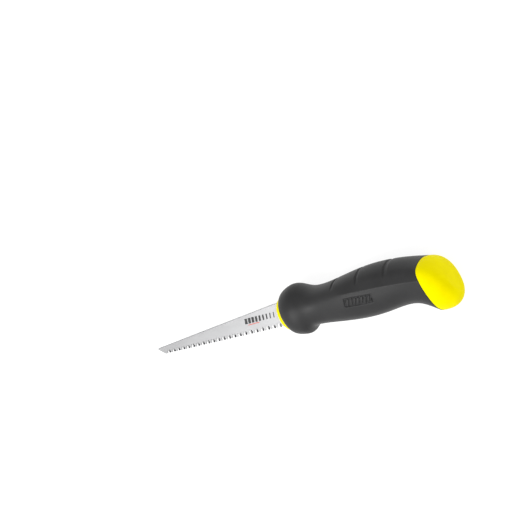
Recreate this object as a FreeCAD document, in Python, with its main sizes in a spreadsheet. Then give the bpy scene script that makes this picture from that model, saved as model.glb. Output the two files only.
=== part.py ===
"""Drywall (jab) saw with a fixed blade: a toothed blade with a hidden tang, a split handle core, a front
collar, a soft grip sleeve and an end cap.

Design frame, in millimetres: X runs along the blade from its tip (-X) to the end cap (+X), Y from the
teeth (-Y) to the spine (+Y), Z across the saw with the blade's middle plane at Z = 0. Each piece's
Placement then moves the saw so that the row's origin is the middle of the floor that it lies on.
"""
import FreeCAD, Part
import os

import Sketcher
from FreeCAD import Placement, Rotation, Vector

# --------------------------------------------------------------------------- driving dimensions
SIZES = {
    # blade
    "blade_thickness": 1.3,
    "blade_tip_x": -149.3,
    "blade_tip_y": -3.6,
    "blade_toe_x": -140.6,
    "blade_toe_y": -9.9,
    "blade_heel_x": 7.5,
    "blade_spine_y": 10.45,
    "blade_edge_y": -10.3,
    "blade_tip_radius": 0.8,
    # teeth: eight to the inch, with gullets ground at a slant, to one side and then to the other
    "tooth_pitch": 3.175,
    "tooth_depth": 3.7,
    "tooth_gullet_half": 1.48,
    "tooth_gullet_root": 0.12,
    "tooth_slant": 0.55,
    "tooth_first_x": -0.41,
    "gullets_each_way": 22,
    # tang and the rivets through it
    "tang_end_x": 92.0,
    "tang_half_height": 7.5,
    "tang_corner_radius": 2.5,
    "tang_clearance": 0.1,
    "rivet_x": 34.0,
    "rivet_gap": 44.0,
    "rivet_radius": 2.4,
    "rivet_hole_radius": 2.5,
    "rivet_head_radius": 4.2,
    "rivet_head_height": 1.6,
    "rivet_half_length": 10.0,
    # the collar's face, the reach of the cap over the core, and the gap round the blade in the collar
    "collar_face_x": 5.4,
    "cap_seat_x": 147.0,
    "slot_clearance": 0.15,
    # where the design frame's zero goes, filled in from the finished pieces
    "frame_x": 0.0,
    "frame_y": 0.0,
    "frame_z": 0.0,
}

# Egg-shaped cross-sections, one row each: X, highest Y, lowest Y, Y of the widest point, half width, how
# full the upper and lower halves are (0.78 is an ellipse, more is squarer), and by how many degrees the
# section's crown leans towards the blade.
SECTION_FIELDS = ("x", "top", "bottom", "widest", "half", "upper_fill", "lower_fill", "lean")
SECTIONS = {
    "sleeve": [
        (11.6, 13.8, -15.9, -0.3, 11.8, 0.79, 0.80, 5.0),
        (13.1, 16.2, -17.1, 0.1, 13.8, 0.79, 0.80, 4.2),
        (15.9, 18.6, -18.4, 0.6, 15.6, 0.79, 0.81, 2.8),
        (20.4, 20.6, -19.5, 1.2, 16.9, 0.79, 0.82, 1.2),
        (25.0, 21.5, -20.0, 1.8, 17.3, 0.79, 0.83, 0),
        (28.4, 21.0, -19.9, 2.2, 17.0, 0.79, 0.84, 0),
        (30.7, 20.2, -18.7, 2.4, 16.6, 0.79, 0.84, 0),
        (32.9, 19.2, -16.5, 2.6, 16.1, 0.79, 0.85, 0),
        (35.9, 17.8, -14.9, 2.9, 15.4, 0.79, 0.85, 0),
        (40.5, 16.1, -14.6, 3.2, 14.8, 0.79, 0.85, 0),
        (47.0, 15.2, -15.0, 3.6, 14.6, 0.79, 0.85, 0),
        (55.5, 15.5, -15.8, 3.9, 15.1, 0.79, 0.85, 0),
        (67.0, 16.9, -16.9, 4.2, 16.1, 0.79, 0.85, 0),
        (83.0, 19.1, -17.8, 4.6, 17.0, 0.79, 0.85, 0),
        (100.0, 20.3, -17.1, 5.0, 17.0, 0.79, 0.85, 0),
        (114.0, 19.8, -15.4, 5.2, 16.8, 0.79, 0.85, 0),
        (124.0, 18.6, -15.2, 5.0, 17.2, 0.79, 0.84, 0),
        (132.0, 17.0, -17.5, 4.6, 18.0, 0.79, 0.82, 0),
        (140.4, 15.2, -25.0, 4.2, 19.0, 0.79, 0.80, 5.5),
    ],
    "core": [
        (11.6, 11.9, -13.0, -0.3, 8.9, 0.79, 0.80, 5.0),
        (16.5, 16.0, -15.2, 0.7, 12.4, 0.79, 0.80, 0),
        (25.0, 18.0, -16.4, 1.6, 14.0, 0.79, 0.80, 0),
        (33.0, 15.8, -13.6, 2.2, 13.0, 0.79, 0.80, 0),
        (43.5, 12.5, -11.7, 2.8, 11.8, 0.79, 0.80, 0),
        (60.0, 13.0, -13.3, 3.4, 12.6, 0.79, 0.80, 0),
        (83.0, 16.1, -14.5, 4.2, 14.0, 0.79, 0.80, 0),
        (100.0, 17.3, -13.6, 4.6, 14.1, 0.79, 0.80, 0),
        (116.0, 16.4, -11.6, 4.6, 13.9, 0.79, 0.80, 0),
        (128.0, 14.8, -12.2, 4.4, 14.4, 0.79, 0.80, 0),
        (140.4, 12.2, -21.2, 3.8, 16.0, 0.79, 0.80, 5.5),
    ],
    "nose": [
        (7.5, 11.1, -11.3, 0.0, 7.6, 0.79, 0.80, 0),
        (15.0, 11.1, -11.3, 0.0, 7.6, 0.79, 0.80, 0),
    ],
    "boss": [
        (138.5, 9.0, -17.0, 3.0, 12.5, 0.79, 0.80, 0),
        (147.0, 9.0, -17.0, 3.0, 12.5, 0.79, 0.80, 0),
    ],
    "collar": [
        (5.4, 8.6, -8.9, 0.0, 6.4, 0.79, 0.80, 0),
        (6.0, 10.6, -10.9, 0.0, 8.1, 0.79, 0.80, 0.4),
        (7.2, 12.1, -12.8, 0.0, 9.5, 0.79, 0.80, 1.5),
        (9.2, 13.2, -14.6, -0.1, 10.9, 0.79, 0.80, 3.2),
        (11.6, 13.8, -15.9, -0.3, 11.8, 0.79, 0.80, 5.0),
    ],
    "cap": [
        (140.4, 14.9, -24.6, 4.2, 18.6, 0.79, 0.80, 5.5),
        (144.1, 14.6, -24.8, 3.6, 18.6, 0.79, 0.80, 7.0),
        (147.8, 13.2, -24.1, 2.7, 17.9, 0.79, 0.79, 9.2),
        (150.7, 10.9, -22.5, 1.4, 16.5, 0.79, 0.79, 11.2),
        (152.9, 7.8, -20.2, -0.1, 14.6, 0.79, 0.79, 13.2),
        (154.5, 4.4, -17.4, -1.9, 12.1, 0.79, 0.79, 15.0),
        (155.5, 1.1, -14.1, -3.7, 9.3, 0.79, 0.79, 16.5),
    ],
}


# --------------------------------------------------------------------------- sheet and sketch helpers

def cell(family, index, field):
    """The sheet's name for one number of one cross-section."""
    return f"{family}_row{index}_{field}"


def make_sheet():
    """Writes every driving dimension to the spreadsheet: its name, and its value with that name as alias."""
    values = dict(SIZES)
    for family, rows in SECTIONS.items():
        for index, row in enumerate(rows):
            for field, value in zip(SECTION_FIELDS, row):
                values[cell(family, index, field)] = value
    sheet = doc.addObject("Spreadsheet::Sheet", "Dims")
    for line, (name, value) in enumerate(values.items(), start=1):
        sheet.set(f"A{line}", name)
        sheet.set(f"B{line}", str(value))
        sheet.setAlias(f"B{line}", name)
    doc.recompute()
    return sheet


def number(expression):
    """What an expression over the sheet comes to now."""
    return float(dims.evalExpression(expression))


def new_body(name):
    """A sub-part, placed so that the saw lies on the row's floor."""
    body = doc.addObject("PartDesign::Body", name)
    body.Label = name
    for axis in "xyz":
        body.setExpression(f"Placement.Base.{axis}", f"-Dims.frame_{axis}")
    return body


def origin_item(body, role):
    """One of the planes or axes of the body's own origin."""
    return next(item for item in body.Origin.OriginFeatures if item.Role == role)


def new_sketch(body, name, role):
    """A sketch on one of the body's origin planes: XY_Plane is the blade's, YZ_Plane is square to X."""
    sketch = body.newObject("Sketcher::SketchObject", name)
    sketch.AttachmentSupport = [(origin_item(body, role), "")]
    sketch.MapMode = "FlatFace"
    return sketch


def bind(sketch, constraint, expression):
    """Adds a dimension to the sketch and binds it to the sheet."""
    index = sketch.addConstraint(constraint)
    sketch.setExpression(f"Constraints[{index}]", expression)


def pin(sketch, geometry, point, across, up):
    """Holds a point of the sketch at two expressions, measured from the sketch's origin."""
    bind(sketch, Sketcher.Constraint("DistanceX", -1, 1, geometry, point, number(across)), across)
    bind(sketch, Sketcher.Constraint("DistanceY", -1, 1, geometry, point, number(up)), up)


def polygon(sketch, corners):
    """A closed outline of straight edges, every corner of which is held by a pair of expressions."""
    points = [Vector(number(across), number(up), 0) for across, up in corners]
    edges = [Part.LineSegment(start, end) for start, end in zip(points, points[1:] + points[:1])]
    sketch.addGeometry(edges, False)
    for index in range(len(edges)):
        following = (index + 1) % len(edges)
        sketch.addConstraint(Sketcher.Constraint("Coincident", index, 2, following, 1))
    for index, (across, up) in enumerate(corners):
        pin(sketch, index, 1, across, up)


def circle(sketch, across, up, radius):
    """A circle whose centre and radius are expressions."""
    centre = Vector(number(across), number(up), 0)
    index = sketch.addGeometry(Part.Circle(centre, Vector(0, 0, 1), number(radius)), False)
    pin(sketch, index, 3, across, up)
    bind(sketch, Sketcher.Constraint("Radius", index, number(radius)), radius)


def pad(body, sketch, length):
    """Extrudes a sketch on the middle plane by half of its length to each side."""
    feature = body.newObject("PartDesign::Pad", f"{sketch.Name}_pad")
    feature.Profile = sketch
    feature.SideType = "Symmetric"
    feature.setExpression("Length", length)
    sketch.Visibility = False
    return feature


def pocket(body, sketch, length, reverse=False, symmetric=False):
    """Cuts a sketch out of the body, and stops with a message if nothing was cut."""
    doc.recompute()
    before = body.Shape.Volume
    feature = body.newObject("PartDesign::Pocket", f"{sketch.Name}_pocket")
    feature.Profile = sketch
    feature.SideType = "Symmetric" if symmetric else "One side"
    feature.Reversed = reverse
    feature.setExpression("Length", length)
    doc.recompute()
    if not body.Shape.Volume < before:
        raise RuntimeError(f"{feature.Name} cuts nothing")
    return feature


# --------------------------------------------------------------------------- egg-shaped lofts

def section_poles(row):
    """The eight control points of an egg-shaped section, as pairs of expressions (Y, Z).

    The right-hand side comes first, from the crown over the shoulder, the side and the lower shoulder to
    the keel. A closed cubic spline with these points touches the row's top, bottom and half width.
    """
    upper = f"{row}upper_fill"
    lower = f"{row}lower_fill"
    rise = f"({row}top - {row}widest)"
    fall = f"({row}widest - {row}bottom)"
    crown = (f"{row}widest + {rise} * (1.5 - 0.5 * {upper})", "0")
    shoulder = (f"{row}widest + {rise} * {upper}", f"{row}half * {upper}")
    side = (f"{row}widest - ({rise} * {upper} - {fall} * {lower}) / 4",
            f"{row}half * (6 - {upper} - {lower}) / 4")
    low_shoulder = (f"{row}widest - {fall} * {lower}", f"{row}half * {lower}")
    keel = (f"{row}widest - {fall} * (1.5 - 0.5 * {lower})", "0")
    return crown, shoulder, side, low_shoulder, keel


def section_sketch(body, family, index, name):
    """One egg-shaped cross-section: a closed spline, mirrored about Z = 0, on a plane across the saw.

    The list of points starts one before the crown, which puts the closed curve's ends at the crown itself.
    """
    row = f"Dims.{family}_row{index}_"
    sketch = new_sketch(body, name, "YZ_Plane")
    sketch.AttachmentOffset = Placement(Vector(0, 0, number(f"{row}x")), Rotation(Vector(0, 1, 0), 1))
    sketch.setExpression("AttachmentOffset.Base.z", f"{row}x")
    sketch.setExpression("AttachmentOffset.Rotation.Angle", f"{row}lean")
    poles = section_poles(row)
    right = [Vector(number(across), number(up), 0) for across, up in poles]
    left = [Vector(point.x, -point.y, 0) for point in right[1:-1]]
    points = left[:1] + right + left[:0:-1]
    curve = Part.BSplineCurve()
    curve.buildFromPolesMultsKnots(points, [1] * (len(points) + 1), list(range(len(points) + 1)), True, 3)
    spline = sketch.addGeometry(curve, False)
    handles = []
    for order, point in enumerate(points):
        handle = sketch.addGeometry(Part.Circle(point, Vector(0, 0, 1), 1), True)
        sketch.addConstraint(Sketcher.Constraint("InternalAlignment:Sketcher::BSplineControlPoint",
                                                 handle, 3, spline, order))
        sketch.addConstraint(Sketcher.Constraint("Weight", handle, 1.0))
        handles.append(handle)
    for handle, (across, up) in zip(handles[1:], poles):
        pin(sketch, handle, 3, across, up)
    for order in range(1, len(poles) - 1):
        mirrored = handles[1 - order]
        sketch.addConstraint(Sketcher.Constraint("Symmetric", handles[1 + order], 3, mirrored, 3, -1))
    return sketch


def loft(body, family, kind="PartDesign::AdditiveLoft"):
    """A smooth solid, or a cut, through every section of one family."""
    sketches = [section_sketch(body, family, index, f"{body.Name}_{family}_{index}")
                for index in range(len(SECTIONS[family]))]
    doc.recompute()
    before = body.Shape.Volume if kind.endswith("SubtractiveLoft") else None
    feature = body.newObject(kind, f"{body.Name}_{family}_loft")
    feature.Profile = sketches[0]
    feature.Sections = sketches[1:]
    doc.recompute()
    if before is not None and not body.Shape.Volume < before:
        raise RuntimeError(f"{feature.Name} cuts nothing")
    return feature


# --------------------------------------------------------------------------- the pieces

def make_blade():
    """The toothed blade and its tang, one flat piece of steel."""
    body = new_body("blade")
    outline = new_sketch(body, "blade_outline", "XY_Plane")
    polygon(outline, [
        ("Dims.blade_tip_x", "Dims.blade_tip_y"),
        ("Dims.blade_toe_x", "Dims.blade_toe_y"),
        ("Dims.blade_heel_x", "Dims.blade_edge_y"),
        ("Dims.blade_heel_x", "-Dims.tang_half_height"),
        ("Dims.tang_end_x", "-Dims.tang_half_height"),
        ("Dims.tang_end_x", "Dims.tang_half_height"),
        ("Dims.blade_heel_x", "Dims.tang_half_height"),
        ("Dims.blade_heel_x", "Dims.blade_spine_y"),
    ])
    pad(body, outline, "Dims.blade_thickness")
    doc.recompute()
    round_corners(body, "blade_tip_rounding", "Dims.blade_tip_radius",
                  lambda corner: corner.x < number("Dims.blade_tip_x") + 1)
    round_corners(body, "tang_end_rounding", "Dims.tang_corner_radius",
                  lambda corner: corner.x > number("Dims.tang_end_x") - 1)
    holes = new_sketch(body, "tang_holes", "XY_Plane")
    circle(holes, "Dims.rivet_x", "0", "Dims.rivet_hole_radius")
    circle(holes, "Dims.rivet_x + Dims.rivet_gap", "0", "Dims.rivet_hole_radius")
    pocket(body, holes, "2 * Dims.blade_thickness", symmetric=True)
    for side, name in ((-1, "left"), (1, "right")):
        cut_gullets(body, name, side)
    return body


def cut_gullets(body, name, side):
    """Every second gullet between the teeth, a vee ground through the blade at a slant to one side."""
    middle = "Dims.tooth_first_x" if side > 0 else "(Dims.tooth_first_x - Dims.tooth_pitch)"
    root = "Dims.blade_edge_y + Dims.tooth_depth"
    mouth = "Dims.blade_edge_y - Dims.tooth_depth"
    spread = "(2 * Dims.tooth_gullet_half - Dims.tooth_gullet_root)"
    vee = new_sketch(body, f"gullet_{name}", "XY_Plane")
    polygon(vee, [
        (f"{middle} - Dims.tooth_gullet_root", root),
        (f"{middle} - {spread}", mouth),
        (f"{middle} + {spread}", mouth),
        (f"{middle} + Dims.tooth_gullet_root", root),
    ])
    cut = pocket(body, vee, "4 * Dims.blade_thickness", symmetric=True)
    cut.UseCustomVector = True
    cut.Direction = Vector(-side * number("Dims.tooth_slant"), 0, 1)
    row = body.newObject("PartDesign::LinearPattern", f"gullet_{name}_row")
    row.Originals = [cut]
    row.Direction = (origin_item(body, "X_Axis"), [""])
    row.Reversed = True
    row.Mode = "Spacing"
    row.setExpression("Offset", "2 * Dims.tooth_pitch")
    row.setExpression("Occurrences", "Dims.gullets_each_way")
    body.Tip = row
    doc.recompute()


def round_corners(body, name, radius, belongs):
    """Rounds the upright corner edges for which belongs(middle of the edge) holds."""
    edges = []
    for index, edge in enumerate(body.Shape.Edges, start=1):
        ends = [vertex.Point for vertex in edge.Vertexes]
        upright = len(ends) == 2 and (ends[0] - ends[1]).cross(Vector(0, 0, 1)).Length < 1e-6
        if upright and belongs((ends[0] + ends[1]) * 0.5):
            edges.append(f"Edge{index}")
    base = body.Tip
    feature = body.newObject("PartDesign::Fillet", name)
    feature.Base = (base, edges)
    feature.setExpression("Radius", radius)
    doc.recompute()


def make_core_half(name, side):
    """One half of the hard handle core: half of the solid core, with the tang's pocket and rivet holes.

    side is +1 for the saw's left half (Z > 0) and -1 for its right half.
    """
    body = new_body(name)
    for family in ("core", "nose", "boss"):
        loft(body, family)
    tang = new_sketch(body, f"{name}_tang", "XY_Plane")
    polygon(tang, [
        ("Dims.collar_face_x", "-Dims.tang_half_height - Dims.tang_clearance"),
        ("Dims.tang_end_x + Dims.tang_clearance", "-Dims.tang_half_height - Dims.tang_clearance"),
        ("Dims.tang_end_x + Dims.tang_clearance", "Dims.tang_half_height + Dims.tang_clearance"),
        ("Dims.collar_face_x", "Dims.tang_half_height + Dims.tang_clearance"),
    ])
    pocket(body, tang, "Dims.blade_thickness", symmetric=True)
    shanks = new_sketch(body, f"{name}_shanks", "XY_Plane")
    heads = new_sketch(body, f"{name}_heads", "XY_Plane")
    heads.setExpression("AttachmentOffset.Base.z",
                        f"{side} * (Dims.rivet_half_length - Dims.rivet_head_height)")
    for middle in ("Dims.rivet_x", "Dims.rivet_x + Dims.rivet_gap"):
        circle(shanks, middle, "0", "Dims.rivet_radius")
        circle(heads, middle, "0", "Dims.rivet_head_radius")
    pocket(body, shanks, "2 * Dims.rivet_half_length", reverse=side > 0)
    pocket(body, heads, "Dims.rivet_half_length", reverse=side > 0)
    keep_one_side(body, side)
    return body


def keep_one_side(body, side):
    """Cuts away the half of the body on the other side of the middle plane."""
    block = new_sketch(body, f"{body.Name}_other_half", "XY_Plane")
    polygon(block, [
        ("0", "-Dims.cap_seat_x"),
        ("2 * Dims.cap_seat_x", "-Dims.cap_seat_x"),
        ("2 * Dims.cap_seat_x", "Dims.cap_seat_x"),
        ("0", "Dims.cap_seat_x"),
    ])
    pocket(body, block, "Dims.cap_seat_x", reverse=side < 0)


def make_rivets():
    """The rivets that hold the tang between the core's halves: a shank with a flat head at each end."""
    body = new_body("tang_rivets")
    body.AllowCompound = True
    profile = new_sketch(body, "rivet_profile", "XZ_Plane")
    profile.setExpression("AttachmentOffset.Base.x", "Dims.rivet_x")
    neck = "(Dims.rivet_half_length - Dims.rivet_head_height)"
    polygon(profile, [
        ("0", "-Dims.rivet_half_length"),
        ("Dims.rivet_head_radius", "-Dims.rivet_half_length"),
        ("Dims.rivet_head_radius", f"-{neck}"),
        ("Dims.rivet_radius", f"-{neck}"),
        ("Dims.rivet_radius", neck),
        ("Dims.rivet_head_radius", neck),
        ("Dims.rivet_head_radius", "Dims.rivet_half_length"),
        ("0", "Dims.rivet_half_length"),
    ])
    turned = body.newObject("PartDesign::Revolution", "rivet_turned")
    turned.Profile = profile
    turned.ReferenceAxis = (profile, ["V_Axis"])
    turned.Angle = 360
    doc.recompute()
    row = body.newObject("PartDesign::LinearPattern", "rivet_row")
    row.Originals = [turned]
    row.Direction = (origin_item(body, "X_Axis"), [""])
    row.Mode = "Spacing"
    row.setExpression("Offset", "Dims.rivet_gap")
    row.Occurrences = 2
    body.Tip = row
    return body


def make_collar():
    """The front collar: a domed ring over the core's nose, with a slot for the blade."""
    body = new_body("front_collar")
    loft(body, "collar")
    loft(body, "nose", "PartDesign::SubtractiveLoft")
    slot = new_sketch(body, "blade_slot", "XY_Plane")
    polygon(slot, [
        ("0", "Dims.blade_edge_y - Dims.slot_clearance"),
        ("Dims.blade_heel_x + Dims.slot_clearance", "Dims.blade_edge_y - Dims.slot_clearance"),
        ("Dims.blade_heel_x + Dims.slot_clearance", "Dims.blade_spine_y + Dims.slot_clearance"),
        ("0", "Dims.blade_spine_y + Dims.slot_clearance"),
    ])
    pocket(body, slot, "Dims.blade_thickness + 2 * Dims.slot_clearance", symmetric=True)
    return body


def make_sleeve():
    """The soft grip sleeve moulded over the core."""
    body = new_body("grip_sleeve")
    loft(body, "sleeve")
    loft(body, "core", "PartDesign::SubtractiveLoft")
    return body


def make_cap():
    """The end cap that the hand pushes or strikes, pressed over the boss at the core's rear."""
    body = new_body("end_cap")
    loft(body, "cap")
    loft(body, "boss", "PartDesign::SubtractiveLoft")
    return body


# --------------------------------------------------------------------------- checks and files

def place_on_floor(sheet, bodies):
    """Sets the frame's zero to the middle of the saw's footprint, at the height of its lowest point."""
    box = FreeCAD.BoundBox()
    for body in bodies:
        box.add(body.Shape.optimalBoundingBox())
    for axis, value in (("x", box.Center.x), ("y", box.Center.y), ("z", box.ZMin)):
        sheet.set(sheet.getCellFromAlias(f"frame_{axis}"), str(round(value, 3)))
    doc.recompute()


def check(bodies):
    """Stops with a message if any feature failed or any piece isn't a whole, valid solid."""
    for item in doc.Objects:
        if {"Invalid", "Error"} & set(item.State):
            raise RuntimeError(f"{item.Name} failed: {item.State}")
    for body in bodies:
        shape = body.Shape
        if shape.isNull() or not shape.isValid() or not shape.Solids:
            raise RuntimeError(f"{body.Label} isn't a valid solid")


doc = FreeCAD.newDocument("drywall_saw")
dims = make_sheet()
pieces = [
    make_blade(),
    make_core_half("core_left", 1),
    make_core_half("core_right", -1),
    make_rivets(),
    make_collar(),
    make_sleeve(),
    make_cap(),
]
doc.recompute()
place_on_floor(dims, pieces)
check(pieces)
os.makedirs("parts", exist_ok=True)
for piece in pieces:
    piece.Shape.exportStep(f"parts/{piece.Label}.step")
    print(piece.Label, f"{piece.Shape.Volume:.1f} mm3, {len(piece.Shape.Solids)} solid(s)")
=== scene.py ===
"""Looks of the drywall saw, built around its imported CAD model: ground steel, soft rubber, satin plastic.

Everything is in metres in the row frame: X from the blade's tip to the end cap, Y from the teeth to the
spine, Z up from the floor that the saw lies on. Angles in constants are in degrees.
"""
import math

import bpy
import numpy as np
from mathutils import Matrix, Vector
from mathutils.bvhtree import BVHTree


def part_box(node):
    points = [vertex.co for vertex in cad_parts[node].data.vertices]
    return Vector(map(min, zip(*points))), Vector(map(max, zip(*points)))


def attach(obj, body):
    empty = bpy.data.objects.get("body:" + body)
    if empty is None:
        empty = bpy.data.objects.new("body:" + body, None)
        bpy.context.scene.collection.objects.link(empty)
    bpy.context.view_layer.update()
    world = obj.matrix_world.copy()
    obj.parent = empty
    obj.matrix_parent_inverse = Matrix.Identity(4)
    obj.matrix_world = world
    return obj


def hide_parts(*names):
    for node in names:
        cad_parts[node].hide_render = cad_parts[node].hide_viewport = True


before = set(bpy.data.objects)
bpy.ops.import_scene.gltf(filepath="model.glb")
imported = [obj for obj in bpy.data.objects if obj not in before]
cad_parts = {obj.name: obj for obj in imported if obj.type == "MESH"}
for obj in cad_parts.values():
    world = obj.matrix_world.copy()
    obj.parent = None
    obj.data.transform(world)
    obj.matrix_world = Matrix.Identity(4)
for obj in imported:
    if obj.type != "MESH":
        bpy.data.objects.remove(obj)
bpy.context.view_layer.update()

MM = 0.001
FULL_TURN = 2 * math.pi
BLADE_LOW, BLADE_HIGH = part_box("blade")
MIDDLE_Z = (BLADE_LOW.z + BLADE_HIGH.z) / 2

# --------------------------------------------------------------------------- the camera and the studio
CAMERA_AIM = (0.00136, 0.04400, 0.01897)
CAMERA_DISTANCE = 0.623
CAMERA_AZIMUTH = 10.91
CAMERA_ELEVATION = 50.66
CAMERA_UPRIGHT_HEADING = 63.15
CAMERA_LENS = 53.09
CAMERA_SENSOR = 36

BACKDROP_STRENGTH = 0.82
# soft boxes: name, azimuth, elevation, width in metres, power in watts
SOFT_BOXES = (
    ("key", 207, 65, 0.25, 4.0),
    ("side", 244, 47, 1.2, 2.7),
    ("rear", 350, 45, 1.0, 1.5),
    ("front", 170, 30, 1.0, 0.4),
)

FLOOR_HALF_WIDTH = 20.0
FLOOR_GREY = 0.22
FLOOR_GLOW = 0.86
FLOOR_ROUGHNESS = 0.85
WHITE = (1, 1, 1, 1)


def direction(azimuth, elevation):
    """The unit vector at an azimuth from +X towards +Y and an elevation above the floor, in degrees."""
    turn = math.radians(azimuth)
    rise = math.radians(elevation)
    return Vector((math.cos(rise) * math.cos(turn), math.cos(rise) * math.sin(turn), math.sin(rise)))


def facing(back, upright):
    """The rotation of a camera or light whose back points along back, with upright up in its view."""
    right = upright.cross(back).normalized()
    return Matrix((right, back.cross(right), back)).transposed().to_4x4()


def add_camera():
    """The camera, above the rear of the saw."""
    camera = bpy.data.objects.new("camera", bpy.data.cameras.new("camera"))
    bpy.context.scene.collection.objects.link(camera)
    back = direction(CAMERA_AZIMUTH, CAMERA_ELEVATION)
    place = Vector(CAMERA_AIM) + back * CAMERA_DISTANCE
    camera.matrix_world = Matrix.Translation(place) @ facing(back, direction(CAMERA_UPRIGHT_HEADING, 0))
    camera.data.lens = CAMERA_LENS
    camera.data.sensor_width = CAMERA_SENSOR
    bpy.context.scene.camera = camera


def add_soft_box(name, azimuth, elevation, width, power):
    """A square light, a metre away, that faces the middle of the saw."""
    data = bpy.data.lights.new(name, "AREA")
    data.size = width
    data.energy = power
    lamp = bpy.data.objects.new(name, data)
    bpy.context.scene.collection.objects.link(lamp)
    back = direction(azimuth, elevation)
    lamp.matrix_world = Matrix.Translation(back) @ facing(back, Vector((0, 0, 1)))


def add_studio():
    """An even white backdrop all round and the soft boxes, shown without a film look."""
    world = bpy.data.worlds.new("studio")
    bpy.context.scene.world = world
    world.use_nodes = True
    backdrop = world.node_tree.nodes["Background"]
    backdrop.inputs["Color"].default_value = WHITE
    backdrop.inputs["Strength"].default_value = BACKDROP_STRENGTH
    for soft_box in SOFT_BOXES:
        add_soft_box(*soft_box)
    bpy.context.scene.view_settings.view_transform = "Standard"


def add_floor():
    """A wide plain floor, which glows so that the saw's shadow on it stays faint."""
    half = FLOOR_HALF_WIDTH
    mesh = bpy.data.meshes.new("floor")
    corners = [(-half, -half, 0), (half, -half, 0), (half, half, 0), (-half, half, 0)]
    mesh.from_pydata(corners, [], [(0, 1, 2, 3)])
    floor = bpy.data.objects.new("floor", mesh)
    bpy.context.scene.collection.objects.link(floor)
    recipe = Recipe("floor_paper")
    recipe.set("Base Color", (FLOOR_GREY, FLOOR_GREY, FLOOR_GREY, 1))
    recipe.set("Emission Color", WHITE)
    recipe.set("Emission Strength", FLOOR_GLOW)
    recipe.set("Roughness", FLOOR_ROUGHNESS)
    mesh.materials.append(recipe.material)


# --------------------------------------------------------------------------- recipes for materials

class Recipe:
    """A procedural material: its shader, and short ways to add the pattern nodes that drive it."""

    def __init__(self, name):
        self.material = bpy.data.materials.new(name)
        self.material.use_nodes = True
        self.tree = self.material.node_tree
        self.shader = self.tree.nodes["Principled BSDF"]
        source = self.tree.nodes.new("ShaderNodeTexCoord")
        self.place = source.outputs["Object"]
        self.normal = source.outputs["Normal"]

    def feed(self, socket, value):
        """Sets a socket to a number or colour, or links it to another node's output."""
        if isinstance(value, bpy.types.NodeSocket):
            self.tree.links.new(value, socket)
        else:
            socket.default_value = value

    def set(self, name, value):
        """Sets or links one of the shader's own sockets."""
        self.feed(self.shader.inputs[name], value)

    def math(self, operation, first, second=0.0):
        """The result of one sum on two numbers or outputs."""
        node = self.tree.nodes.new("ShaderNodeMath")
        node.operation = operation
        self.feed(node.inputs[0], first)
        self.feed(node.inputs[1], second)
        return node.outputs[0]

    def parts(self, vector):
        """The X, Y and Z of a vector output."""
        node = self.tree.nodes.new("ShaderNodeSeparateXYZ")
        self.feed(node.inputs[0], vector)
        return node.outputs

    def noise(self, size, detail, stretch=(1, 1, 1)):
        """Noise from 0 to 1 with features about size across, drawn out by stretch along each axis."""
        mapping = self.tree.nodes.new("ShaderNodeMapping")
        self.feed(mapping.inputs["Vector"], self.place)
        mapping.inputs["Scale"].default_value = [1 / (size * factor) for factor in stretch]
        node = self.tree.nodes.new("ShaderNodeTexNoise")
        node.inputs["Scale"].default_value = 1.0
        node.inputs["Detail"].default_value = detail
        self.feed(node.inputs["Vector"], mapping.outputs[0])
        return node.outputs["Fac"]

    def spread(self, value, source, target):
        """value carried smoothly from the range source to the range target, and held there outside."""
        node = self.tree.nodes.new("ShaderNodeMapRange")
        node.interpolation_type = "SMOOTHSTEP"
        for name, part in zip(("Value", "From Min", "From Max", "To Min", "To Max"),
                              (value, *source, *target)):
            self.feed(node.inputs[name], part)
        return node.outputs[0]

    def window(self, value, low, high, edge):
        """1 where value lies between low and high, and 0 outside, with soft ends of width edge."""
        rising = self.spread(value, (low - edge / 2, low + edge / 2), (0, 1))
        falling = self.spread(value, (high - edge / 2, high + edge / 2), (1, 0))
        return self.math("MULTIPLY", rising, falling)

    def blend(self, share, first, second):
        """The colour first where share is 0 and second where it is 1."""
        node = self.tree.nodes.new("ShaderNodeMix")
        node.data_type = "RGBA"
        self.feed(node.inputs["Factor"], share)
        self.feed(node.inputs[6], first)
        self.feed(node.inputs[7], second)
        return node.outputs[2]

    def bump(self, height, distance, strength, under=None):
        """A bumped normal from a height pattern, on top of another one."""
        node = self.tree.nodes.new("ShaderNodeBump")
        node.inputs["Strength"].default_value = strength
        node.inputs["Distance"].default_value = distance
        self.feed(node.inputs["Height"], height)
        if under is not None:
            self.feed(node.inputs["Normal"], under)
        return node.outputs["Normal"]


# --------------------------------------------------------------------------- the saw's materials
RUBBER_DARK = (0.018, 0.018, 0.0185, 1)
RUBBER_LIGHT = (0.022, 0.022, 0.0225, 1)
RUBBER_ROUGHNESS = (0.42, 0.48)
RUBBER_SPECULAR = 0.22

YELLOW_DEEP = (0.79, 0.685, 0.0, 1)
YELLOW_BRIGHT = (0.82, 0.725, 0.0, 1)
YELLOW_SHEEN = (1.0, 0.9, 0.0, 1)
YELLOW_ROUGHNESS = (0.42, 0.54)
YELLOW_SPECULAR = 0.02

CORE_DEEP = (0.78, 0.64, 0.02, 1)
CORE_PALE = (0.86, 0.74, 0.04, 1)
CORE_ROUGHNESS = (0.38, 0.5)

RIVET_DULL = (0.42, 0.42, 0.43, 1)
RIVET_BRIGHT = (0.62, 0.62, 0.63, 1)
RIVET_ROUGHNESS = (0.3, 0.5)

STEEL_DARK = (0.365, 0.365, 0.37, 1)
STEEL_LIGHT = (0.395, 0.395, 0.40, 1)
STEEL_LINE = (0.27, 0.27, 0.275, 1)
STEEL_LINE_SHARE = 0.25
# painted shade: the dark strip along the spine stands in for the shaded spine edge
STEEL_SPINE_SHADE = (0.22, 0.22, 0.23, 1)
STEEL_SPINE_SHADE_SHARE = 0.8
# painted shade: the blade's edge faces at the spine and teeth are made near black to stand in for their
# shade
STEEL_EDGE_SHADE = (0.07, 0.07, 0.075, 1)
STEEL_ROUGHNESS = (0.48, 0.58)
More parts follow.
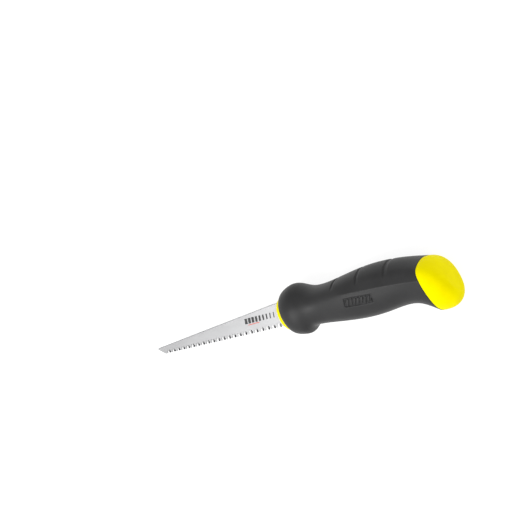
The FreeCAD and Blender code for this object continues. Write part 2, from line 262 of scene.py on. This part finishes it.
# how upright a face's normal is where it is the blade's flat side, and no longer an edge face, which gets
# painted shade
FLAT_NORMAL = (0.8, 0.97)

# a darker strip painted along the spine, painted shade standing in for the shaded spine edge; the spine
# falls towards the tip by SPINE_SLOPE
HEEL_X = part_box("core_left")[0].x
SPINE_SLOPE = 0.0896
SPINE_LEVEL = HEEL_X * SPINE_SLOPE - BLADE_HIGH.y
SPINE_SHADE_WIDTH = 0.7 * MM

# the printed mark on both faces of the blade: bars that get thinner, and a line under them
MARK_BLACK = (0.012, 0.012, 0.013, 1)
MARK_RED = (0.55, 0.10, 0.08, 1)
MARK_START = HEEL_X - 42.4 * MM
MARK_PITCH = 3.8 * MM
MARK_BARS = 9
MARK_LEAN = 0.25
# the bars' half width at the first and the last one, and how soft their edges are, in shares of the pitch
MARK_HALF_WIDTHS = (0.38, 0.12)
MARK_BAR_EDGE = (-0.02, 0.02)
MARK_ENDS_EDGE = 0.05
MARK_HEIGHTS = (0.7 * MM, 5.4 * MM)
MARK_LINE_HEIGHTS = (-0.8 * MM, -0.1 * MM)
MARK_LINE_ENDS = (MARK_START + 1.5 * MM, MARK_START + 14 * MM)
MARK_LINE_RISE = 0.02
MARK_EDGE = 0.1 * MM
MARK_LINE_END_EDGE = 0.3 * MM

# ranges of a noise pattern over which it goes from one look to the other
NOISE_NARROW = (0.35, 0.65)
NOISE_MIDDLE = (0.3, 0.7)
NOISE_WIDE = (0.25, 0.75)
NOISE_UPPER = (0.35, 0.7)


def rubber():
    """Matte dark grey moulded rubber with a fine grain and faint handling marks."""
    recipe = Recipe("soft_rubber")
    grain = recipe.noise(size=0.35 * MM, detail=2.0)
    patches = recipe.noise(size=14 * MM, detail=4.0)
    waves = recipe.noise(size=1.6 * MM, detail=2.0)
    share = recipe.spread(patches, NOISE_NARROW, (0, 1))
    recipe.set("Base Color", recipe.blend(share, RUBBER_DARK, RUBBER_LIGHT))
    recipe.set("Roughness", recipe.spread(patches, NOISE_MIDDLE, RUBBER_ROUGHNESS))
    recipe.set("Specular IOR Level", RUBBER_SPECULAR)
    coarse = recipe.bump(waves, distance=0.05 * MM, strength=0.3)
    recipe.set("Normal", recipe.bump(grain, distance=0.04 * MM, strength=0.5, under=coarse))
    return recipe.material


def yellow_plastic():
    """Satin moulded yellow plastic with a trace of orange peel and fine scuffs."""
    recipe = Recipe("yellow_plastic")
    patches = recipe.noise(size=10 * MM, detail=3.0)
    scuffs = recipe.noise(size=0.5 * MM, detail=3.0, stretch=(1, 9, 1))
    peel = recipe.noise(size=0.9 * MM, detail=2.0)
    share = recipe.spread(patches, NOISE_NARROW, (0, 1))
    recipe.set("Base Color", recipe.blend(share, YELLOW_DEEP, YELLOW_BRIGHT))
    recipe.set("Roughness", recipe.spread(scuffs, NOISE_UPPER, YELLOW_ROUGHNESS))
    recipe.set("Specular IOR Level", YELLOW_SPECULAR)
    recipe.set("Specular Tint", YELLOW_SHEEN)
    recipe.set("Normal", recipe.bump(peel, distance=0.03 * MM, strength=0.35))
    return recipe.material


def core_plastic():
    """Hard moulded plastic of the hidden core, with flow marks."""
    recipe = Recipe("core_plastic")
    flow = recipe.noise(size=3 * MM, detail=3.0, stretch=(6, 1, 1))
    peel = recipe.noise(size=0.6 * MM, detail=2.0)
    recipe.set("Base Color", recipe.blend(flow, CORE_DEEP, CORE_PALE))
    recipe.set("Roughness", recipe.spread(flow, NOISE_MIDDLE, CORE_ROUGHNESS))
    recipe.set("Normal", recipe.bump(peel, distance=0.03 * MM, strength=0.3))
    return recipe.material


def rivet_steel():
    """Plain turned steel with marks from the tool and a dull bloom."""
    recipe = Recipe("rivet_steel")
    bloom = recipe.noise(size=1.5 * MM, detail=4.0)
    tool_marks = recipe.noise(size=0.2 * MM, detail=2.0, stretch=(4, 4, 1))
    recipe.set("Base Color", recipe.blend(bloom, RIVET_DULL, RIVET_BRIGHT))
    recipe.set("Metallic", 1.0)
    recipe.set("Roughness", recipe.spread(bloom, NOISE_MIDDLE, RIVET_ROUGHNESS))
    recipe.set("Normal", recipe.bump(tool_marks, distance=0.02 * MM, strength=0.4))
    return recipe.material


def printed_bars(recipe, x, y):
    """Where the printed mark is: slanted bars that thin out towards the handle."""
    upright_x = recipe.math("SUBTRACT", x, recipe.math("MULTIPLY", y, MARK_LEAN))
    bar = recipe.math("DIVIDE", recipe.math("SUBTRACT", upright_x, MARK_START), MARK_PITCH)
    from_middle = recipe.math("PINGPONG", bar, 0.5)
    half_width = recipe.spread(bar, (0, MARK_BARS), MARK_HALF_WIDTHS)
    bars = recipe.spread(recipe.math("SUBTRACT", half_width, from_middle), MARK_BAR_EDGE, (0, 1))
    along = recipe.window(bar, -0.5, MARK_BARS - 0.5, MARK_ENDS_EDGE)
    across = recipe.window(y, *MARK_HEIGHTS, MARK_EDGE)
    return recipe.math("MULTIPLY", bars, recipe.math("MULTIPLY", along, across))


def printed_line(recipe, x, y):
    """Where the thin coloured line under the printed bars is."""
    past_start = recipe.math("SUBTRACT", x, MARK_START)
    above = recipe.math("SUBTRACT", y, recipe.math("MULTIPLY", past_start, MARK_LINE_RISE))
    along = recipe.window(x, *MARK_LINE_ENDS, MARK_LINE_END_EDGE)
    return recipe.math("MULTIPLY", along, recipe.window(above, *MARK_LINE_HEIGHTS, MARK_EDGE))


def ground_face(recipe, x, y, lines):
    """The colour of the blade's flat sides: cloudy steel with grinding lines and a strip of painted shade
    along the spine.
    """
    clouds = recipe.noise(size=9 * MM, detail=3.0, stretch=(3, 1, 1))
    face = recipe.blend(recipe.spread(clouds, NOISE_MIDDLE, (0, 1)), STEEL_DARK, STEEL_LIGHT)
    face = recipe.blend(recipe.spread(lines, NOISE_MIDDLE, (STEEL_LINE_SHARE, 0)), face, STEEL_LINE)
    from_spine = recipe.math("SUBTRACT", recipe.math("MULTIPLY", x, SPINE_SLOPE), y)
    strip = (SPINE_LEVEL, SPINE_LEVEL + SPINE_SHADE_WIDTH)
    # the darker strip along the spine is painted shade
    return recipe.blend(recipe.spread(from_spine, strip, (STEEL_SPINE_SHADE_SHARE, 0)), face, STEEL_SPINE_SHADE)


def blade_steel():
    """Finely ground bright steel: lengthwise grinding lines, edge faces darkened with painted shade, and a
    printed mark.
    """
    recipe = Recipe("blade_steel")
    x, y, _ = recipe.parts(recipe.place)
    lines = recipe.noise(size=0.12 * MM, detail=3.0, stretch=(120, 1, 1))
    upright = recipe.math("ABSOLUTE", recipe.parts(recipe.normal)[2])
    flat = recipe.spread(upright, FLAT_NORMAL, (0, 1))
    # edge faces that are not flat get painted shade
    steel = recipe.blend(flat, STEEL_EDGE_SHADE, ground_face(recipe, x, y, lines))
    bars = recipe.math("MULTIPLY", printed_bars(recipe, x, y), flat)
    line = recipe.math("MULTIPLY", printed_line(recipe, x, y), flat)
    marked = recipe.blend(line, recipe.blend(bars, steel, MARK_BLACK), MARK_RED)
    recipe.set("Base Color", marked)
    recipe.set("Metallic", recipe.math("SUBTRACT", 1.0, recipe.math("MAXIMUM", bars, line)))
    recipe.set("Roughness", recipe.spread(lines, NOISE_WIDE, STEEL_ROUGHNESS))
    recipe.set("Normal", recipe.bump(lines, distance=0.01 * MM, strength=0.5))
    return recipe.material


# --------------------------------------------------------------------------- reading the CAD surfaces
# how far out rays start, which is beyond any wall, and how closely a flat end's normal follows X
RAY_START = 80 * MM
END_NORMAL = 0.99
# angles from the crown at which walls are read
READ_TURNS = np.arange(240) / 240 * FULL_TURN


def cad_surface(node):
    """A CAD node's triangles, in a form that rays can be cast at."""
    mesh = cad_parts[node].data
    return BVHTree.FromPolygons([vertex.co for vertex in mesh.vertices],
                                [tuple(face.vertices) for face in mesh.polygons])


def outermost_wall(surface, centre, towards):
    """How far from centre the surface's outermost wall lies in one direction."""
    hit = surface.ray_cast(centre + towards * RAY_START, -towards)
    return (hit[0] - centre).length


def first_wall(surface, centre, towards):
    """How far from centre the first wall lies in one direction."""
    hit = surface.ray_cast(centre, towards)
    return (hit[0] - centre).length


def end_plane(node, side):
    """Where a CAD node's flat end crosses Y = 0, and how far it moves towards -X for each metre of Y.

    side is -1 for the end nearest the blade and +1 for the far one.
    """
    total = Vector()
    middle = Vector()
    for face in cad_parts[node].data.polygons:
        if face.normal.x * side > END_NORMAL:
            total += face.normal * face.area
            middle += face.center * face.area
    middle /= total.length
    slope = total.y / total.x
    return middle.x + middle.y * slope, slope


# --------------------------------------------------------------------------- smoothing what was read

def padded(field, rows, pole):
    """field with extra rows at both ends, which carry it on evenly, or past a pole down its other side."""
    head = 2 * field[:1] - field[rows:0:-1]
    tail = 2 * field[-1:] - field[-2:-rows - 2:-1]
    if pole:
        tail = np.roll(field, field.shape[1] // 2, axis=1)[-2:-rows - 2:-1]
    return np.concatenate([head, field, tail])


def bell_curve(blur):
    """The steps to each side that a blur of that many places reaches, and the share of each."""
    reach = math.ceil(3 * blur)
    steps = np.arange(-reach, reach + 1)
    shares = np.exp(-0.5 * (steps / blur) ** 2)
    return steps, shares / shares.sum()


def blurred_rows(field, blur, pole=False):
    """field with its rows blurred into each other."""
    steps, shares = bell_curve(blur)
    reach = steps[-1]
    tall = padded(field, reach, pole)
    return sum(share * tall[reach + step:reach + step + len(field)] for step, share in zip(steps, shares))


def blurred_columns(field, blur):
    """field with its columns, which go round, blurred into each other."""
    steps, shares = bell_curve(blur)
    return sum(share * np.roll(field, step, axis=1) for step, share in zip(steps, shares))


def through(values, places):
    """Rows of values at fractional places, on Catmull-Rom curves through the whole ones."""
    row = places.astype(int)
    part = (places - row)[:, None]
    before, start, end, after = (values[row + step] for step in (-1, 0, 1, 2))
    return start + 0.5 * part * (end - before + part * (2 * before - 5 * start + 4 * end - after
                                                        + part * (3 * (start - end) + after - before)))


def resampled(field, rows, columns, pole=False):
    """field at fractional rows, and at columns given in turns, from 0 to 1."""
    margin = 2
    tall = through(padded(field, margin, pole), rows + margin)
    wide = np.concatenate([tall[:, -margin:], tall, tall[:, :margin + 1]], axis=1)
    return through(wide.T, columns * field.shape[1] + margin).T


def graded(low, high, spacing):
    """Places from low to high whose gaps follow spacing(place)."""
    samples = 6001
    fine = np.linspace(low, high, samples)
    density = 1 / spacing(fine)
    count = np.concatenate([[0], np.cumsum((density[1:] + density[:-1]) / 2 * np.diff(fine))])
    return np.interp(np.linspace(0, count[-1], math.ceil(count[-1]) + 1), count, fine)


def smooth_step(value, low, high):
    """0 below low, 1 above high, and a smooth rise between."""
    part = np.clip((value - low) / (high - low), 0, 1)
    return part * part * (3 - 2 * part)


# --------------------------------------------------------------------------- building meshes
SHARP_ANGLE = 50


def ring_faces(first, second, columns):
    """Quads between two rings of vertices, which start at the indices first and second."""
    faces = []
    for column in range(columns):
        following = (column + 1) % columns
        faces.append((first + column, first + following, second + following, second + column))
    return faces


def lattice_faces(rows, columns, start=0):
    """Quads between each ring of vertices and the next one, from the index start."""
    faces = []
    for row in range(rows - 1):
        corner = start + row * columns
        faces += ring_faces(corner, corner + columns, columns)
    return faces


def closed_piece(name, points, faces, material, node):
    """A piece of the saw made of a closed mesh, which stands for a CAD node."""
    mesh = bpy.data.meshes.new(name)
    mesh.from_pydata(points, [], faces)
    mesh.validate()
    mesh.shade_smooth()
    mesh.set_sharp_from_angle(angle=math.radians(SHARP_ANGLE))
    mesh.materials.append(material)
    piece = bpy.data.objects.new(name, mesh)
    bpy.context.scene.collection.objects.link(piece)
    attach(piece, "root")
    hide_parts(node)
    return piece


# --------------------------------------------------------------------------- the grip's shape
FRONT_X, FRONT_SLOPE = end_plane("grip_sleeve", -1)
REAR_X, REAR_SLOPE = end_plane("grip_sleeve", 1)
SLEEVE_LENGTH = REAR_X - FRONT_X
SLOPE_REACH = 26 * MM
LIP_RADIUS = 0.4 * MM

# three finger grooves over the palm side, which fade out down the sides between two heights
GROOVE_PLACES = (FRONT_X + 53.7 * MM, FRONT_X + 77.4 * MM, FRONT_X + 101.4 * MM)
GROOVE_WIDTHS = (2.6 * MM, 2.6 * MM, 3.6 * MM)
GROOVE_STEP = 0.9 * MM
GROOVE_DEPTH = 0.85 * MM
GROOVE_FADE = (12.2 * MM, 16.5 * MM)

# the long crease on each side: its height and bend, and how sharp and how strong it gets along the grip
CREASE_HEIGHT = 9.4 * MM
CREASE_FALL = 1.2 * MM
CREASE_BEND = 2.7 * MM
CREASE_BEND_START = FRONT_X + 49 * MM
CREASE_BEND_LENGTH = 80 * MM
CREASE_DROP = 0.55 * MM
CREASE_REACH = 5 * MM
CREASE_SHARPENS = (FRONT_X + 35 * MM, FRONT_X + 66 * MM)
CREASE_BLUNTNESS = (4 * MM, 0.4 * MM)
CREASE_STRENGTHENS = (FRONT_X + 38 * MM, FRONT_X + 74 * MM)
CREASE_FADE_ABOVE = (4 * MM, 10 * MM)
CREASE_SHARE_BELOW = 0.6

# the recessed panel on each side, and the slanted ribs in it
PANEL_MIDDLE = (FRONT_X + 75.6 * MM, 1.7 * MM)
PANEL_HALF = (12.4 * MM, 3.5 * MM)
PANEL_TILT = 0.044
PANEL_LEAN = 0.2
PANEL_CORNER = 0.7 * MM
PANEL_DEPTH = 0.7 * MM
PANEL_WALL = (-0.2 * MM, 0.25 * MM)
RIB_PITCH = 3.1 * MM
RIB_LEAN = 0.45
RIB_FLANK = (0.4 * MM, 0.8 * MM)
RIB_END = (0.8 * MM, 1.1 * MM)
RIB_HEIGHT_SHARE = 0.9


def crease_height(x):
    """Y of the long crease on each side, which bends down towards the cap."""
    part = np.clip((x - CREASE_BEND_START) / CREASE_BEND_LENGTH, 0, 1)
    return CREASE_HEIGHT - CREASE_FALL * part - CREASE_BEND * part ** 2


def groove_depths(x, y):
    """How deep the three finger grooves are: a short step down, then a gentle ramp up."""
    depth = np.zeros_like(x)
    for place, width in zip(GROOVE_PLACES, GROOVE_WIDTHS):
        ramp = np.clip(1 - (x - place) / width, 0, 1)
        depth = np.maximum(depth, ramp * smooth_step(x, place - GROOVE_STEP, place))
    return GROOVE_DEPTH * depth * smooth_step(y, *GROOVE_FADE)


def crease_drops(x, y):
    """How far the surface falls away above and below the long crease."""
    blunt = np.interp(x, CREASE_SHARPENS, CREASE_BLUNTNESS)
    above = y - crease_height(x)
    away = (np.sqrt(above ** 2 + blunt ** 2) - blunt) / CREASE_REACH
    share = np.where(above > 0, 1 - smooth_step(above, *CREASE_FADE_ABOVE), CREASE_SHARE_BELOW)
    return CREASE_DROP * smooth_step(x, *CREASE_STRENGTHENS) * share * away * np.exp(1 - away)


def panel_depths(x, y):
    """How deep the recessed panel on each side is, less the ribs that stand in it."""
    right = x - PANEL_MIDDLE[0]
    rise = y - PANEL_MIDDLE[1]
    across = right - PANEL_LEAN * rise
    up = rise + PANEL_TILT * right
    beyond_x = np.abs(across) - PANEL_HALF[0] + PANEL_CORNER
    beyond_y = np.abs(up) - PANEL_HALF[1] + PANEL_CORNER
    outside = np.hypot(np.maximum(beyond_x, 0), np.maximum(beyond_y, 0))
    inwards = PANEL_CORNER - outside - np.minimum(np.maximum(beyond_x, beyond_y), 0)
    from_gap = np.abs((right - RIB_LEAN * rise) / RIB_PITCH % 1 - 0.5) * RIB_PITCH
    ribs = smooth_step(from_gap, *RIB_FLANK) * smooth_step(inwards, *RIB_END)
    return PANEL_DEPTH * (smooth_step(inwards, *PANEL_WALL) - RIB_HEIGHT_SHARE * ribs)


def end_rounding(depth):
    """How far the outside is drawn in at a depth below a flat end, where it rounds over to it."""
    left = np.clip(LIP_RADIUS - depth, 0, LIP_RADIUS)
    return LIP_RADIUS - np.sqrt(LIP_RADIUS ** 2 - left ** 2)


# --------------------------------------------------------------------------- the grip's mesh
# the stations at which the CAD sleeve is read, a hair inside its ends, and how many carry its inside
READ_INSET = 0.01 * MM
READ_STATIONS = np.linspace(FRONT_X + READ_INSET, REAR_X - READ_INSET, 162)
INNER_STATIONS = 24
STATION_BLUR = 1.2
TURN_BLUR = 2.0

# gaps between the mesh's stations, and how far beyond each feature the fine ones go on
PLAIN_GAP = 0.8 * MM
PANEL_GAP = 0.24 * MM
PANEL_MARGIN = 1.5 * MM
GROOVE_GAP = 0.28 * MM
GROOVE_MARGIN = 0.5 * MM
LIP_GAP = 0.07 * MM
LIP_MARGIN = 0.1 * MM

# gaps between its columns: fine where the panel and crease are, in degrees from the crown
GIRTH = 107 * MM
SIDE_GAP = 0.25 * MM
CROWN_GAP = 0.6 * MM
SIDE_ANGLE = 82
SIDE_REACH = 22


def sleeve_spacing(x):
    """The gap between the sleeve's stations: fine at the ends, the panel and the grooves."""
    gap = np.full_like(x, PLAIN_GAP)
    near_panel = np.abs(x - PANEL_MIDDLE[0]) < PANEL_HALF[0] + PANEL_MARGIN
    gap[near_panel] = PANEL_GAP
    for place, width in zip(GROOVE_PLACES, GROOVE_WIDTHS):
        near_groove = np.abs(x - place) < width + GROOVE_MARGIN
        gap[near_groove] = np.minimum(gap[near_groove], GROOVE_GAP)
    near_end = np.minimum(x - FRONT_X, REAR_X - x) < LIP_RADIUS + LIP_MARGIN
    gap[near_end] = LIP_GAP
    return gap


def turn_spacing(turn):
    """The gap between the sleeve's columns, in turns from the crown: fine on both sides."""
    degrees = np.minimum(turn, 1 - turn) * 360
    return np.where(np.abs(degrees - SIDE_ANGLE) < SIDE_REACH, SIDE_GAP, CROWN_GAP) / GIRTH


def station_slopes(x):
    """How much the plane of each station tilts: as its end does near an end, and square to X between."""
    front = 1 - smooth_step(x, FRONT_X, FRONT_X + SLOPE_REACH)
    rear = smooth_step(x, REAR_X - SLOPE_REACH, REAR_X)
    return FRONT_SLOPE * front + REAR_SLOPE * rear


def station_up(slope):
    """The direction in a station's plane from the teeth's side to the spine's."""
    return Vector((-slope, 1, 0)).normalized()


def turned(up, turn):
    """The direction in a station's plane at an angle from up."""
    return up * math.cos(turn) + Vector((0, 0, 1)) * math.sin(turn)


def read_sleeve():
    """The middle, outer radii and inner radii of the CAD sleeve at each station."""
    surface = cad_surface("grip_sleeve")
    middles = []
    outer = []
    inner = []
    for x, slope in zip(READ_STATIONS, station_slopes(READ_STATIONS)):
        up = station_up(slope)
        on_plane = Vector((x, 0, MIDDLE_Z))
        top = outermost_wall(surface, on_plane, up)
        bottom = outermost_wall(surface, on_plane, -up)
        middle = on_plane + up * (top - bottom) / 2
        middles.append((top - bottom) / 2)
        outer.append([outermost_wall(surface, middle, turned(up, turn)) for turn in READ_TURNS])
        inner.append([first_wall(surface, middle, turned(up, turn)) for turn in READ_TURNS])
    return np.array(middles), np.array(outer), np.array(inner)


def station_points(x, middle, radius, columns):
    """The points at each station's radii, in its plane, for columns given in turns from the crown."""
    angle = columns[None, :] * FULL_TURN
    slope = station_slopes(x)[:, None]
    length = np.sqrt(1 + slope ** 2)
    along = middle[:, None] + radius * np.cos(angle)
    across = MIDDLE_Z + radius * np.sin(angle)
    return np.stack([x[:, None] - slope / length * along, along / length, across], axis=-1)


def sleeve_outside(stations, columns, middle, outer):
    """The outside's points: the surface that was read, with grooves, creases, panels and rounded lips."""
    smooth_outer = blurred_columns(blurred_rows(outer, STATION_BLUR), TURN_BLUR)
    places = (stations - FRONT_X) / SLEEVE_LENGTH * (len(READ_STATIONS) - 1)
    radius = resampled(smooth_outer, places, columns)
    smooth_middle = blurred_rows(middle[:, None], STATION_BLUR)[:, 0]
    middle_line = np.interp(stations, READ_STATIONS, smooth_middle)
    x, y, _ = np.moveaxis(station_points(stations, middle_line, radius, columns), 2, 0)
    radius = radius - groove_depths(x, y) - crease_drops(x, y) - panel_depths(x, y)
    radius = radius - end_rounding(np.minimum(stations - FRONT_X, REAR_X - stations))[:, None]
    return station_points(stations, middle_line, radius, columns).reshape(-1, 3)


def sleeve_inside(columns, middle, inner):
    """The inside's points, on a few of the stations that were read, the end ones moved to the flat ends."""
    rows = np.linspace(0, len(READ_STATIONS) - 1, INNER_STATIONS).round().astype(int)
    radius = resampled(inner[rows], np.arange(INNER_STATIONS, dtype=float), columns)
    x = READ_STATIONS[rows]
    x[0], x[-1] = FRONT_X, REAR_X
    return station_points(x, middle[rows], radius, columns).reshape(-1, 3)


def make_sleeve(material):
    """The moulded grip: one closed mesh of its outside, its inside and the flat ends between them."""
    middle, outer, inner = read_sleeve()
    stations = graded(FRONT_X, REAR_X, sleeve_spacing)
    columns = graded(0, 1, turn_spacing)[:-1]
    outside = sleeve_outside(stations, columns, middle, outer)
    inside = sleeve_inside(columns, middle, inner)
    count = len(columns)
    first_inside = len(outside)
    last_outside = first_inside - count
    last_inside = first_inside + len(inside) - count
    faces = lattice_faces(len(stations), count)
    faces += [face[::-1] for face in lattice_faces(INNER_STATIONS, count, first_inside)]
    faces += ring_faces(first_inside, 0, count)
    faces += ring_faces(last_outside, last_inside, count)
    points = np.concatenate([outside, inside]).tolist()
    return closed_piece("grip_rubber", points, faces, material, "grip_sleeve")


# --------------------------------------------------------------------------- the end cap
# the rings at which the CAD cap is read, from its rim at 90 degrees to its pole at 0
CAP_READ_RINGS = np.linspace(90, 0, 73)
CAP_RIM_LIMIT = 89.9
CAP_RING_BLUR = 1.6
CAP_TURN_BLUR = 2.5
# the mesh: its columns, and the gaps between its rings, which are fine in the rim that rounds over
CAP_COLUMNS = 220
CAP_RIM_START = 88.4
CAP_RIM_GAP = 0.25
CAP_GAP = 1.2
# how far off a flat face a ray starts when it reads the wall round that face
HAIR = 0.02 * MM


def cap_spacing(degrees):
    """The gap between rings of the cap, in degrees from its pole: fine where the rim rounds over."""
    return np.where(degrees > CAP_RIM_START, CAP_RIM_GAP, CAP_GAP)


def cap_frame():
    """The middle of the cap's flat seam, the direction out of it and the direction up in it."""
    low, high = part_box("end_cap")
    middle_y = (low.y + high.y) / 2
    up = station_up(REAR_SLOPE)
    centre = Vector((REAR_X - middle_y * REAR_SLOPE, middle_y, MIDDLE_Z))
    return centre, Vector((up.y, -up.x, 0)), up


def read_cap(surface, centre, out, up):
    """The distance from the seam's middle to the CAD cap's outside, ring by ring, smoothed."""
    outer = []
    for degrees in CAP_READ_RINGS:
        lean = math.radians(min(degrees, CAP_RIM_LIMIT))
        ring = [out * math.cos(lean) + turned(up, turn) * math.sin(lean) for turn in READ_TURNS]
        outer.append([outermost_wall(surface, centre, towards) for towards in ring])
    return blurred_columns(blurred_rows(np.array(outer), CAP_RING_BLUR, pole=True), CAP_TURN_BLUR)


def cap_outside(rings, columns, outer, centre, out, up):
    """The points of the dome, ring by ring from the rim, and then its pole."""
    places = (90 - rings) / 90 * (len(CAP_READ_RINGS) - 1)
    radius = resampled(outer, places, columns, pole=True)
    lean = np.radians(rings)[:, None]
    angle = columns[None, :] * FULL_TURN
    depth = radius * np.cos(lean)
    across = radius * np.sin(lean) - end_rounding(depth)
    axes = np.array([out, up, (0, 0, 1)])
    parts = np.stack([depth, across * np.cos(angle), across * np.sin(angle)], axis=-1)
    dome = parts.reshape(-1, 3) @ axes + np.array(centre)
    return dome.tolist() + [list(centre + out * outer[-1].mean())]


def wall_ring(surface, middle, lift, up, columns):
    """Points of the wall round a flat face's middle, read by rays that start a lift away from it."""
    ring = []
    for column in columns:
        towards = turned(up, column * FULL_TURN)
        ring.append(list(middle + towards * first_wall(surface, middle + lift, towards)))
    return ring


def cap_cavity(surface, columns, centre, out, up):
    """The points round the mouth of the cavity for the core's boss, and round its floor."""
    floor_middle = Vector((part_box("core_left")[1].x - HAIR, centre.y, centre.z))
    mouth = wall_ring(surface, centre, out * HAIR, up, columns)
    return mouth + wall_ring(surface, floor_middle, Vector((-HAIR, 0, 0)), Vector((0, 1, 0)), columns)


def make_cap(material):
    """The end cap: one closed mesh of its dome, its flat seam and the cavity for the core's boss."""
    surface = cad_surface("end_cap")
    seam = cap_frame()
    rings = graded(0, 90, cap_spacing)[:0:-1]
    columns = np.arange(CAP_COLUMNS) / CAP_COLUMNS
    points = cap_outside(rings, columns, read_cap(surface, *seam), *seam)
    pole = len(points) - 1
    mouth = len(points)
    floor = mouth + CAP_COLUMNS
    points += cap_cavity(surface, columns, *seam)
    faces = lattice_faces(len(rings), CAP_COLUMNS)
    for column in range(CAP_COLUMNS):
        last_ring = pole - CAP_COLUMNS
        faces.append((last_ring + column, last_ring + (column + 1) % CAP_COLUMNS, pole))
    faces += ring_faces(mouth, 0, CAP_COLUMNS)
    faces += ring_faces(floor, mouth, CAP_COLUMNS)
    faces.append(tuple(reversed(range(floor, floor + CAP_COLUMNS))))
    return closed_piece("cap_shell", points, faces, material, "end_cap")


# --------------------------------------------------------------------------- pieces kept from the CAD
BEVEL_SEGMENTS = 2
BEVEL_ANGLE = 35
WELD_DISTANCE = 0.0001 * MM


def finish_node(name, material, rounding):
    """Gives a CAD node its material, and fine rounded edges by modifiers that leave its mesh alone."""
    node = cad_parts[name]
    node.material_slots[0].link = "OBJECT"
    node.material_slots[0].material = material
    weld = node.modifiers.new("weld", "WELD")
    weld.merge_threshold = WELD_DISTANCE
    bevel = node.modifiers.new("edges", "BEVEL")
    bevel.width = rounding
    bevel.segments = BEVEL_SEGMENTS
    bevel.limit_method = "ANGLE"
    bevel.angle_limit = math.radians(BEVEL_ANGLE)
    bevel.harden_normals = False


add_camera()
add_studio()
add_floor()
yellow = yellow_plastic()
make_sleeve(rubber())
make_cap(yellow)
finish_node("blade", blade_steel(), rounding=0.05 * MM)
finish_node("front_collar", yellow, rounding=0.15 * MM)
finish_node("core_left", core_plastic(), rounding=0.1 * MM)
finish_node("core_right", core_plastic(), rounding=0.1 * MM)
finish_node("tang_rivets", rivet_steel(), rounding=0.2 * MM)
